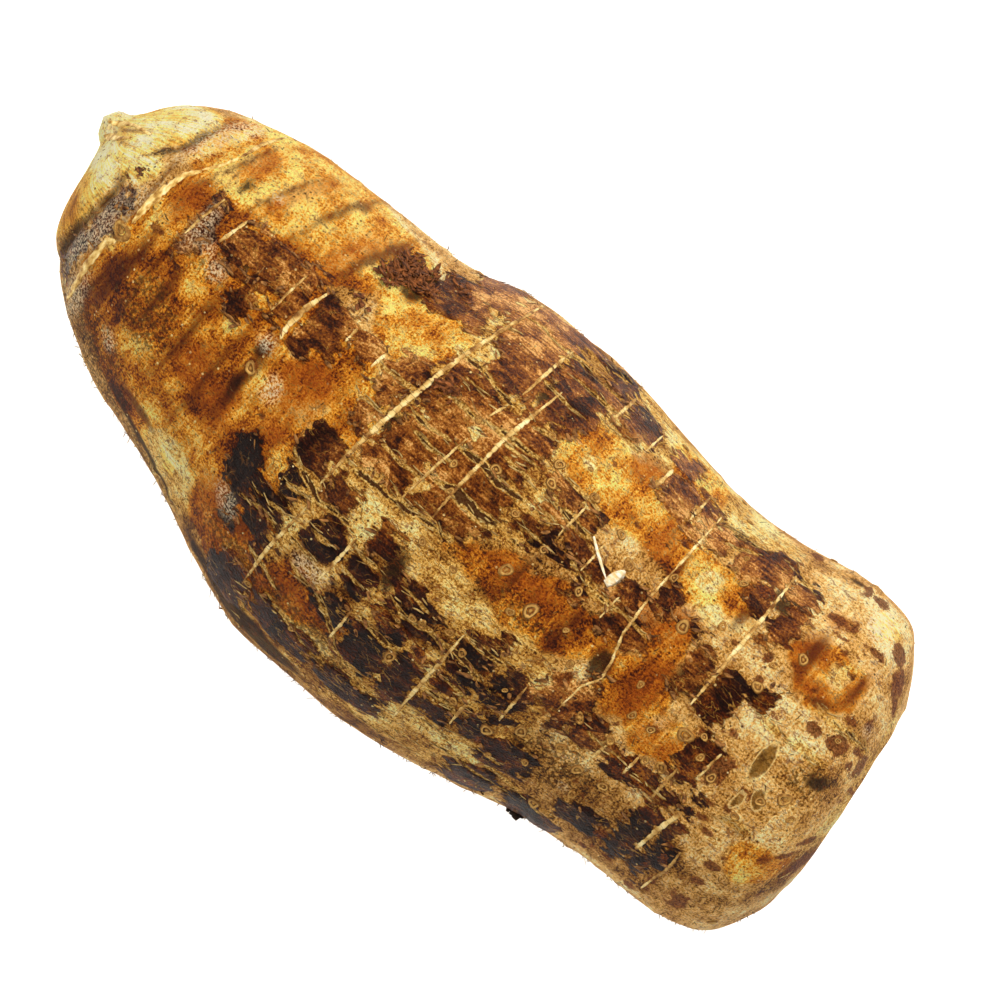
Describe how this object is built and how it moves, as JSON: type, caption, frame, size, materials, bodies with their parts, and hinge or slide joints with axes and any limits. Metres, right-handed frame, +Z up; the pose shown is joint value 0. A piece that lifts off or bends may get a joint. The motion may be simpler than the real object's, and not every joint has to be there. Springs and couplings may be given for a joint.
{
  "type": "taro root",
  "caption": "Whole taro corm lying on its side: budded crown, ringed scaly skin over a swollen belly, a slight waist and a flat trimmed base.",
  "frame": {"origin": "on the surface the corm lies on, under the middle of its bounding box", "axes": "+X along the corm from the crown bud to the cut base, +Z up, +Y to the left when looking along +X"},
  "size_m": [0.2396, 0.1076, 0.0969],
  "materials": {
    "corm_skin": "matte"
  },
  "bodies": {
    "root": {"corm": "corm_skin"}
  },
  "joints": []
}
